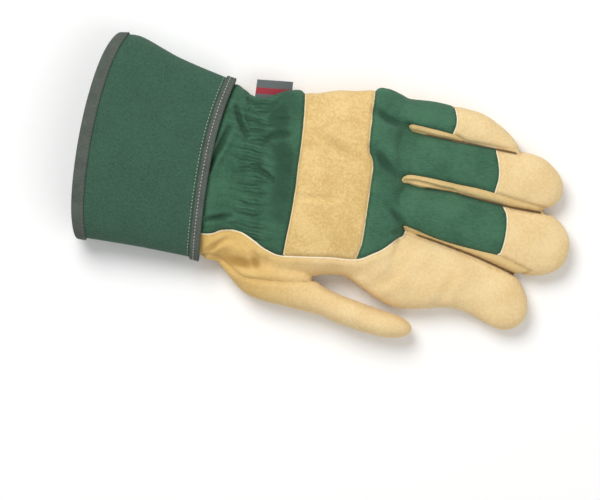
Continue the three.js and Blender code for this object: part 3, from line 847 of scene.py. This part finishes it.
def suede(name, pale, deep, cream, mottle=0.4, wrist_tone=0.9):
    """Split leather with a short nap: mottled, matt, and pale where its cut edge shows."""
    f = Finish(name)
    patches = f.noise(15, 3.0)
    grain = f.noise(1.5, 4.0, rough=0.75)
    nap = f.noise(0.55, 2.0, rough=0.7)
    share = f.between(patches * 0.4 + grain * 0.6, 0.5 - mottle / 2, 0.5 + mottle / 2)
    colour = f.blend(share, deep, pale)
    colour = f.blend(f.between(nap, 0.35, 0.75) * 0.18, colour, (0.95, 0.84, 0.58))
    # Painted shade: the leather is darkened within about 2 mm of its seams, where the edges turn
    # in.
    seam_shade = tuple(0.62 * c for c in deep)
    colour = f.blend((1 - f.between(f.kept("seam"), 0.3, 2.2)) * 0.25, colour, seam_shade)
    shade = tuple(c * part for c, part in zip(deep, (0.50, 0.43, 0.30)))
    colour = f.blend(f.between(f.kept("groove"), 0.3, 2.5) * 0.8, colour, shade)
    wrist = 1 - f.between(f.place("X"), -0.05, 0.03)
    colour = f.blend(wrist * wrist_tone, colour, (0.84, 0.73, 0.43), "MULTIPLY")
    colour = f.blend(1 - f.between(f.kept("edge"), 0.45, 0.95), colour, cream)
    # Painted shade: a near-black brown line in the creases between the fingers, broken up a little
    # by the patches.
    dark = f.between(f.kept("crease") + patches * 0.3 - 0.15, 0.4, 0.85) * 0.92
    colour = f.blend(dark, colour, (0.11, 0.055, 0.018))
    f.set(Base_Color=colour, Roughness=0.82 + nap * 0.14)
    f.set(Specular_IOR_Level=0.2, Sheen_Weight=0.1, Sheen_Roughness=0.6)
    f.bump(nap * 0.3 + grain * 0.7, 0.6, 0.4)
    return f.material


def fleece(name, colour):
    """Knitted pile on the glove's inner side."""
    f = Finish(name)
    tuft = f.noise(1.1, 3.0, rough=0.7)
    f.set(Base_Color=f.blend(tuft, tuple(0.72 * c for c in colour), colour), Roughness=0.95)
    f.bump(tuft, 0.8, 0.9)
    return f.material


lining = fleece("cream_fleece", (0.78, 0.73, 0.62))
GOLD, DEEP_GOLD, CREAM = (0.87, 0.66, 0.345), (0.76, 0.53, 0.235), (0.90, 0.78, 0.56)
glove_leather = suede("gold_suede", GOLD, DEEP_GOLD, CREAM, 0.32)


def join(piece, slot, *nodes):
    """Puts a piece on the part's one body and hides the nodes that it replaces. Its slot is not
    used.
    """
    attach(piece, "root")
    if nodes:
        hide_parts(*nodes)


def sew(piece, outside, slot, *nodes):
    """Gives a panel its outer finish and its fleece lining, and joins it to the glove."""
    piece.data.materials.append(outside)
    piece.data.materials.append(lining)
    join(piece, slot, *nodes)


def drawn_in(points, out):
    """The elastic draws the little finger's side of the wrist in."""
    near = np.exp(-(((points[:, 0] + 41) / 9) ** 2)) * np.clip((points[:, 1] - 30) / 8, 0, 1)
    return -2.7 * near, np.zeros(len(points))


to_back = upper_edge_of("hand_back", "wrist_back", "knuckle_strap")
palm = panel("palm", wrinkle=drawn_in, pale_edge=to_back)
sew(
    palm, glove_leather, "leather",
    "palm", "first_finger", "little_finger_front", "ring_finger_front", "middle_finger_front",
)

# Thumb. It is a tube of the same split leather, cut as a piece of its own and set into the palm
# along a curved seam.
thumb = panel("thumb")
sew(thumb, glove_leather, "leather", "thumb")

# Fingertips. Caps of the palm's leather cover the ends of the little, ring and middle fingers. They
# are sewn over the cloth, and their cut edges show as a cream line.
to_cloth = upper_edge_of("hand_back", "wrist_back")
for digit in ("little", "ring", "middle"):
    cap = panel(digit + "_fingertip", pale_edge=to_cloth)
    sew(cap, glove_leather, "leather", digit + "_fingertip")

# Strips between the fingers. Narrow strips of leather, a little deeper in colour, join the back's
# edges to the palm's, and roll a little between the two seams.
STRIP_GOLD = (0.82, 0.60, 0.28)
strip_leather = suede("strip_suede", STRIP_GOLD, (0.70, 0.48, 0.18), STRIP_GOLD)
for fork in ("little_ring", "ring_middle", "middle_index"):
    strip = panel(fork + "_fourchette", sink=0.6, rim=1.0, finer=True)
    sew(strip, strip_leather, "leather", fork + "_fourchette")

# Knuckle strap. A band of rougher and deeper-coloured split leather lies across the back of the
# hand, and is sewn down along both edges.
STRAP_GOLD, STRAP_BROWN = (0.81, 0.575, 0.24), (0.62, 0.40, 0.125)
strap_leather = suede("strap_suede", STRAP_GOLD, STRAP_BROWN, (0.84, 0.65, 0.36), 0.26, 0.0)
strap = panel("knuckle_strap", pale_edge=to_cloth)
sew(strap, strap_leather, "strap_leather", "knuckle_strap")


# Back of the hand. One piece of green cotton drill covers the back of the hand and of three
# fingers, and is sewn to the strap, the strips and the fingertips.
def drill(name, pale, deep, pitch, ribs=0.5, clouds=0.35, run=0.3):
    """Dark cotton drill: fine ribs along the fingers, faded a little on the high threads."""
    f = Finish(name)
    turns = f.place("Y") * (2 * math.pi / (pitch * MM)) + f.noise(5, 2.0) * 1.6
    rib = f.node("ShaderNodeMath", {0: turns}, operation="SINE") * 0.5 + 0.5
    slub = f.noise(0.9, 3.0, stretch=(run, 1, 1), rough=0.65)
    grain = f.noise(1.3, 3.0, rough=0.75)
    patches = f.noise(14, 3.0)
    threads = slub * 0.6 + grain * 0.4
    light = patches * clouds + threads * (0.85 - clouds) + rib * (0.15 * ribs) + 0.075 * (1 - ribs)
    colour = f.blend(f.between(light, 0.33, 0.63), deep, pale)
    # Painted shade: the drill is darkened along its seams, in the folds and gathers, and in the
    # creases between the fingers.
    dark = (1 - f.between(f.kept("seam"), 0.2, 1.6)) * 0.45
    dark = dark + f.between(f.kept("groove"), 0.15, 1.9) * 0.6
    dark = dark + f.between(f.kept("crease"), 0.4, 1.0) * 0.3
    colour = f.blend(dark, colour, tuple(0.4 * c for c in deep))
    f.set(Base_Color=colour, Roughness=0.88, Specular_IOR_Level=0.2, Sheen_Weight=0.08)
    f.bump(rib * ribs + slub * 0.6 + grain * 0.3, 0.4, 0.25)
    return f.material


back_cloth = drill("green_drill", (0.066, 0.176, 0.102), (0.034, 0.101, 0.058), 0.8)
hand_back = panel("hand_back")
sew(hand_back, back_cloth, "back_cloth", "hand_back")


# Back of the wrist. A piece of the same drill runs from the strap to the cuff, and is gathered on a
# hidden elastic that is sewn across its inner side about 20 mm from the cuff.
ELASTIC_X, ELASTIC_LEAN = -38.3, -0.145
FINE_GATHER, WIDE_GATHER = 2.0, 5.6


def gathers(points, out):
    """Rise and shade of the gathers: fine ones at the elastic, wider ones on both sides."""
    x, y = points[:, 0], points[:, 1]
    elastic = ELASTIC_X + ELASTIC_LEAN * (y - 9)
    off = x - elastic
    drift = 2.6 * rolling(points, (11, 7, 60), 0.2) + 1.2 * rolling(points, (4, 3, 60), 4.1)
    tight = 1 - np.abs(np.sin(math.pi * y / FINE_GATHER + drift)) ** 0.7
    loose = np.sin(2 * math.pi * y / WIDE_GATHER + 1.7 * drift)
    short = np.exp(-((off / 6.0) ** 2)) * (0.55 + 0.45 * rolling(points, (5, 2.4, 60), 7.7))
    long = np.exp(-((off / 12.0) ** 2)) * (0.6 + 0.4 * rolling(points, (9, 6, 60), 2.4))
    band = 0.9 * np.exp(-((off / 4.6) ** 4)) + 0.35 * np.exp(-((off / 11.0) ** 2))
    flare = -0.5 * np.exp(-(((off - 15) / 8.0) ** 2)) - 0.4 * np.exp(-(((off + 12) / 6.0) ** 2))
    soft = 0.55 * rolling(points, (13, 9, 60), 8.8)
    rise = -0.95 * tight * short + 0.6 * loose * long - band - flare + soft
    # The depth is painted shade: in the gathers' hollows, in a broad blotchy band about 15 mm past
    # the elastic towards the strap, and a little all over.
    clouds = 1 + 0.35 * rolling(points, (8, 9, 60), 3.3)
    by_strap = 0.5 + 0.5 * np.exp(-(((off - 15) / 10.0) ** 2)) * clouds
    depth = 2.4 * tight * short + 1.1 * np.maximum(-loose, 0) * long + by_strap
    free = np.clip(out[:, 2] * 3 + 0.3, 0, 1)
    return rise * free, depth * free


wrist_back = panel("wrist_back", wrinkle=gathers, finer=True)
sew(wrist_back, back_cloth, "back_cloth", "wrist_back")

# Cuff. A flared tube of two layers of stiffened green canvas stands open by itself. Its wrist end
# is sewn to the hand under the grey tape.
CUFF_WALL = 2.0
CUFF_FLOOR = 3.3
CUFF_END = -60.3
CORNER = 24.0  # how far from the mouth its corners are rounded
CUFF = [
    (-131.4, -53.4, 58.0, 37.5, 18.5),
    (-120, -53.1, 59.4, 36.8, 18.2),
    (-110, -52.8, 57.4, 36.0, 18.0),
    (-92, -52.4, 51.8, 33.5, 17.0),
    (-60, -52.6, 45.2, 30.4, 15.0),
]


def cuff_ring(x, grow=0.0):
    """Points round the cuff at a distance along it, grow outside its cloth."""
    row = along(CUFF, COLUMNS, float(np.clip(x, CUFF[0][0], CUFF[-1][0])))
    row["x"], row["floor"] = x, CUFF_FLOOR
    ring = section(row, 150, 90, grow)
    y = ring[:, 1]
    mid, half = (row["low"] + row["high"]) / 2, (row["high"] - row["low"]) / 2
    near_mouth = np.clip((MOUTH_X + CORNER - x) / CORNER, 0, 1)
    corner = np.where(y > mid, 3.0, 2.4) * near_mouth * np.abs((y - mid) / half) ** 7
    ring[:, 0] += bow(x, y) + corner
    sway = 0.7 * rolling(ring, (30, 24, 60), 2.0) + 0.25 * rolling(ring, (11, 9, 60), 6.0)
    ring[:, 2] += sway * np.clip((ring[:, 2] - 8) / 12, 0, 1) * np.clip((-61 - x) / 8, 0, 1)
    return ring


def swept(name, profile, material, slot, *nodes):
    """A piece whose profile, pairs of place along the cuff and growth, runs round the cuff."""
    rings = [cuff_ring(x, grow) for x, grow in profile]
    n = len(rings)
    faces = between_rings([(k, (k + 1) % n) for k in range(n)], len(rings[0]))
    made = piece_from(name, np.concatenate(rings), faces)
    made.data.materials.append(material)
    join(made, slot, *nodes)


CANVAS, DEEP_CANVAS = (0.082, 0.190, 0.126), (0.040, 0.104, 0.066)
cuff_cloth = drill("green_canvas", CANVAS, DEEP_CANVAS, 0.7, ribs=0.3, clouds=0.12, run=0.75)
stations = np.linspace(MOUTH_X + 0.2, CUFF_END, 60)
cuff_profile = [(x, 0.0) for x in stations] + [(x, -CUFF_WALL) for x in stations[::-1]]
swept("cuff_cloth_tube", cuff_profile, cuff_cloth, "cuff_cloth", "cuff")


# Stitches by the cuff's wrist end. A faded cotton thread runs round the cuff through both its
# layers. A tree sets a stitch at every pitch along the row's line, a little uneven, as a machine
# with thick cloth leaves it.
WRIST_PITCH = 1.9
stitch_tree = bpy.data.node_groups.new("stitch_row", "GeometryNodeTree")
stitch_inputs = {}
for label, kind in (
    ("Line", "NodeSocketGeometry"),
    ("Pitch", "NodeSocketFloat"),
    ("Stitch Size", "NodeSocketVector"),
    ("Thread", "NodeSocketMaterial"),
):
    made = stitch_tree.interface.new_socket(label, in_out="INPUT", socket_type=kind)
    stitch_inputs[label] = made.identifier
stitch_tree.interface.new_socket("Stitches", in_out="OUTPUT", socket_type="NodeSocketGeometry")


def tree_node(kind, links=None, **settings):
    """A node of the stitch tree, with its settings and the links or values of its sockets."""
    made = stitch_tree.nodes.new(kind)
    for key, value in settings.items():
        setattr(made, key, value)
    for key, value in (links or {}).items():
        if isinstance(value, bpy.types.NodeSocket):
            stitch_tree.links.new(value, made.inputs[key])
        else:
            made.inputs[key].default_value = value
    return made


given = tree_node("NodeGroupInput")
as_curve = tree_node("GeometryNodeMeshToCurve", {"Mesh": given.outputs["Line"]})
spaced = tree_node(
    "GeometryNodeResampleCurve",
    {"Curve": as_curve.outputs[0], "Length": given.outputs["Pitch"]},
    mode="LENGTH",
)
stitch = tree_node("GeometryNodeMeshUVSphere", {"Segments": 8, "Rings": 5, "Radius": 0.5})
lie = tree_node(
    "FunctionNodeAlignRotationToVector",
    {"Vector": tree_node("GeometryNodeInputTangent").outputs[0]},
    axis="X",
)
wobble = tree_node(
    "FunctionNodeRandomValue", {0: (-0.12, -0.12, -0.12), 1: (0.12, 0.12, 0.12), "Seed": 5},
    data_type="FLOAT_VECTOR",
)
turned = tree_node(
    "FunctionNodeRotateRotation", {"Rotation": lie.outputs[0], "Rotate By": wobble.outputs[0]}
)
placed = tree_node(
    "GeometryNodeInstanceOnPoints",
    {
        "Points": spaced.outputs[0],
        "Instance": stitch.outputs[0],
        "Rotation": turned.outputs[0],
        "Scale": given.outputs["Stitch Size"],
    },
)
single = tree_node("GeometryNodeRealizeInstances", {0: placed.outputs[0]})
dyed = tree_node(
    "GeometryNodeSetMaterial", {"Geometry": single.outputs[0], "Material": given.outputs["Thread"]}
)
tree_node("NodeGroupOutput", {0: dyed.outputs[0]})


def stitched(name, line, thread, slot, pitch, size, closed=True):
    """A row of stitches along a line in the drawing."""
    count = len(line)
    edges = [(i, (i + 1) % count) for i in range(count if closed else count - 1)]
    row = in_scene(name, (np.array(line) + DRAWN) * MM, [], edges)
    mesh = row.data
    sewing = row.modifiers.new("sewing", "NODES")
    sewing.node_group = stitch_tree
    sewing[stitch_inputs["Pitch"]] = pitch * MM
    sewing[stitch_inputs["Stitch Size"]] = [v * MM for v in size]
    sewing[stitch_inputs["Thread"]] = thread
    bpy.context.view_layer.update()
    made = row.evaluated_get(bpy.context.evaluated_depsgraph_get())
    plain = bpy.data.meshes.new_from_object(made)
    row.modifiers.clear()
    row.data = plain
    plain.polygons.foreach_set("use_smooth", [True] * len(plain.polygons))
    bpy.data.meshes.remove(mesh)
    join(row, slot)


def thread_finish(name, colour):
    """Twisted cotton sewing thread."""
    f = Finish(name)
    twist = f.noise(0.3, 2.0)
    f.set(Base_Color=f.blend(twist, tuple(0.75 * c for c in colour), colour), Roughness=0.6)
    f.bump(twist, 0.4, 0.1)
    return f.material


faded_thread = thread_finish("faded_thread", (0.46, 0.50, 0.36))
cuff_row = cuff_ring(CUFF_END - 6.1, 0.1)
stitched("cuff_stitches", cuff_row, faded_thread, "cuff_cloth", WRIST_PITCH, (1.2, 0.46, 0.3))


# Tape at the wrist. A grey woven cotton tape covers the seam between cuff and hand all the way
# round. It is sewn down with a light thread on the cuff's side and a dark one on the hand's.
def tape_cloth(name, pale, deep, pitch=1.1):
    """Narrow woven cotton tape with a slight cord to its weave."""
    f = Finish(name)
    fibre = f.noise(0.45, 2.0, rough=0.7)
    turns = f.place("Y") * (2 * math.pi / (pitch * MM)) + fibre * 2
    cord = f.node("ShaderNodeMath", {0: turns}, operation="SINE") * 0.5 + 0.5
    share = f.between(fibre * 0.7 + f.noise(6, 2.0) * 0.3, 0.3, 0.7)
    f.set(Base_Color=f.blend(share, deep, pale), Roughness=0.85, Specular_IOR_Level=0.25)
    f.bump(cord * 0.4 + fibre * 0.6, 0.4, 0.25)
    return f.material


grey_thread = thread_finish("grey_thread", (0.50, 0.49, 0.42))
dark_thread = thread_finish("dark_thread", (0.15, 0.18, 0.155))
tape_grey = tape_cloth("charcoal_tape", (0.112, 0.130, 0.112), (0.058, 0.072, 0.062))
tape_edge, hand_edge = CUFF_END - 4.6, CUFF_END + 0.5
tape_profile = [
    (tape_edge, 0.1), (tape_edge - 0.3, 0.6), (tape_edge, 1.15), (tape_edge + 0.9, 1.4),
    (tape_edge + 1.8, 1.15), (tape_edge + 2.7, 1.5), (hand_edge - 1.2, 1.3), (hand_edge - 0.8, 1.7),
    (hand_edge - 0.2, 1.5), (hand_edge + 0.1, 0.8), (hand_edge - 0.3, 0.1), (hand_edge - 3.0, 0.1),
]
swept("wrist_tape_cloth", tape_profile, tape_grey, "binding_tape", "wrist_tape")
for name, row, thread, size in (
    ("tape_stitches", cuff_ring(tape_edge + 1.8, 1.25), grey_thread, (1.3, 0.6, 0.5)),
    ("tape_edge_stitches", cuff_ring(hand_edge - 1.2, 1.35), dark_thread, (1.2, 0.4, 0.35)),
):
    stitched(name, row, thread, "binding_tape", WRIST_PITCH, size)

# Binding. The same tape, wider, is folded over the raw edge of the cuff's mouth, and one row of
# dark thread holds both its flaps.
FLAP = 5.0
TAPE_TOP = 1.25  # outside of the tape above the cuff's cloth
outer_flap = [
    (MOUTH_X + FLAP - t * (FLAP + 0.1), TAPE_TOP - 0.35 * (1 - t) ** 6)
    for t in np.linspace(0, 1, 9)
]
lip = [
    (MOUTH_X - 0.1 - 1.5 * math.sin(turn), -1.0 + 2.25 * math.cos(turn))
    for turn in np.linspace(0.25, math.pi - 0.25, 9)
]
inner_flap = [
    (MOUTH_X - 0.1 + t * (FLAP + 0.1), -CUFF_WALL - TAPE_TOP) for t in np.linspace(0, 1, 6)
]
inside_edge = [(MOUTH_X + FLAP + 0.3, -CUFF_WALL - 0.7), (MOUTH_X + FLAP, -CUFF_WALL - 0.1)]
under = [(MOUTH_X + 0.1, -CUFF_WALL - 0.1), (MOUTH_X + 0.1, 0.1)]
under += [(MOUTH_X + FLAP, 0.1), (MOUTH_X + FLAP + 0.3, 0.5)]
swept(
    "mouth_binding_cloth", (outer_flap + lip + inner_flap + inside_edge + under)[::-1], tape_grey,
    "binding_tape", "cuff_binding",
)
mouth_row = cuff_ring(MOUTH_X + FLAP - 1.0, 1.3)
stitched("binding_stitches", mouth_row, dark_thread, "binding_tape", 2.2, (1.5, 0.45, 0.35))

# Patch under the cuff. The palm's leather ends in a round patch that lies flat under the cuff, and
# is sewn to it with a cream thread near the patch's edge.
PATCH_OUTLINE = smooth_line(
    (-50, -10), (-62, -10), (-70, -13.5), (-80, -15), (-89, -12), (-95.5, -4), (-98, 8),
    (-98, 26), (-94.5, 37), (-87, 43), (-78, 44), (-70, 41), (-62, 36.5), (-50, 36.5),
)[:-1]
PATCH_OUTLINE += [(-50, y) for y in np.linspace(36.5, -10, 16)][:-1]
PATCH_MIDDLE = np.array([-73.0, 13.0])
PATCH_UNDER, PATCH_TOP = 0.1, 1.6


def patch_ring(share, lift):
    """The patch's outline drawn in to a share of its size, at a height."""
    reach = np.array(PATCH_OUTLINE) - PATCH_MIDDLE
    spread = PATCH_MIDDLE + reach * share
    edge = np.linalg.norm(reach, axis=1) * (1 - share)
    z = lift + 1.45 * np.exp(-((edge / 3.0) ** 2)) * np.clip((-56 - spread[:, 0]) / 5, 0, 1)
    return np.column_stack([spread, z])


shares = [0.04, 0.3, 0.55, 0.75, 0.86, 0.93, 0.97, 1.0]
patch_rings = [patch_ring(share, PATCH_UNDER) for share in shares]
patch_rings += [patch_ring(share, PATCH_TOP) for share in shares[::-1]]
vertices, faces = closed_loft(patch_rings)
patch = piece_from("cuff_patch", vertices, [face[::-1] for face in faces])
mark(patch, seam=[FAR] * len(vertices), edge=[FAR] * len(vertices))
sew(patch, glove_leather, "leather")
cream_thread = thread_finish("cream_thread", (0.62, 0.62, 0.47))
patch_row = [point - (0, 0, 0.1) for point in patch_ring(0.94, PATCH_UNDER) if point[0] < -58]
stitched("patch_stitches", patch_row, cream_thread, "leather", 2.6, (1.9, 0.6, 0.4), closed=False)

# Side label. A bare woven tab, charcoal with one red stripe, is folded double and sewn into the
# side seam by the elastic, so that it stands out from the little finger's side.
LABEL_X, LABEL_LONG, LABEL_TOP, LABEL_HEIGHT = -33.7, 19.3, 49.8, 9.9
LABEL_LEAN = 0.12
LABEL_HALF = 0.38  # half the thickness of the two layers
LABEL_STEPS = 22
STRIPE_LOW, STRIPE_HIGH, STRIPE_BLUR = 41.9, 45.3, 0.3
label_cloth = Finish("label_weave")
across = label_cloth.kept("across")
fibre = label_cloth.noise(0.4, 2.0, rough=0.7)
charcoal = label_cloth.blend(fibre, (0.075, 0.083, 0.083), (0.155, 0.180, 0.175))
red = label_cloth.blend(fibre, (0.26, 0.012, 0.028), (0.42, 0.030, 0.050))
stripe = label_cloth.between(across, STRIPE_LOW, STRIPE_LOW + STRIPE_BLUR)
stripe = stripe - label_cloth.between(across, STRIPE_HIGH, STRIPE_HIGH + STRIPE_BLUR)
label_cloth.set(Base_Color=label_cloth.blend(stripe, charcoal, red), Roughness=0.7)
label_cloth.bump(fibre, 0.5, 0.2)
LABEL_LOOP = (
    [(t, -LABEL_HALF) for t in np.linspace(0, 0.95, 10)]
    + [
        (0.95 + 0.05 * math.sin(turn), -LABEL_HALF * math.cos(turn))
        for turn in np.linspace(0.4, math.pi - 0.4, 5)
    ]
    + [(t, LABEL_HALF) for t in np.linspace(0.95, 0, 10)]
)
label_points, label_across = [], []
for t in np.linspace(-0.5, 0.5, LABEL_STEPS):
    x = LABEL_X + t * LABEL_LONG
    root = along(HAND, HAND_COLUMNS, x)["high"] - 1.6
    skew = LABEL_LEAN * t * LABEL_LONG
    for out, thick in LABEL_LOOP:
        y = root + out * (LABEL_TOP + skew - root)
        lift = 0.5 * out**2 + 0.25 * math.sin(5 * t) * out
        label_points.append((x - 0.6 * out, y, LABEL_HEIGHT + lift + thick))
        label_across.append(y - skew)
loop = len(LABEL_LOOP)
label_faces = between_rings([(k, k + 1) for k in range(LABEL_STEPS - 1)], loop)
last = (LABEL_STEPS - 1) * loop
label_faces += [tuple(range(loop))[::-1], tuple(last + i for i in range(loop))]
tab = piece_from("woven_tab", np.array(label_points), label_faces, smooth=False)
mark(tab, across=label_across)
tab.data.materials.append(label_cloth.material)
join(tab, "label_cloth", "side_label")
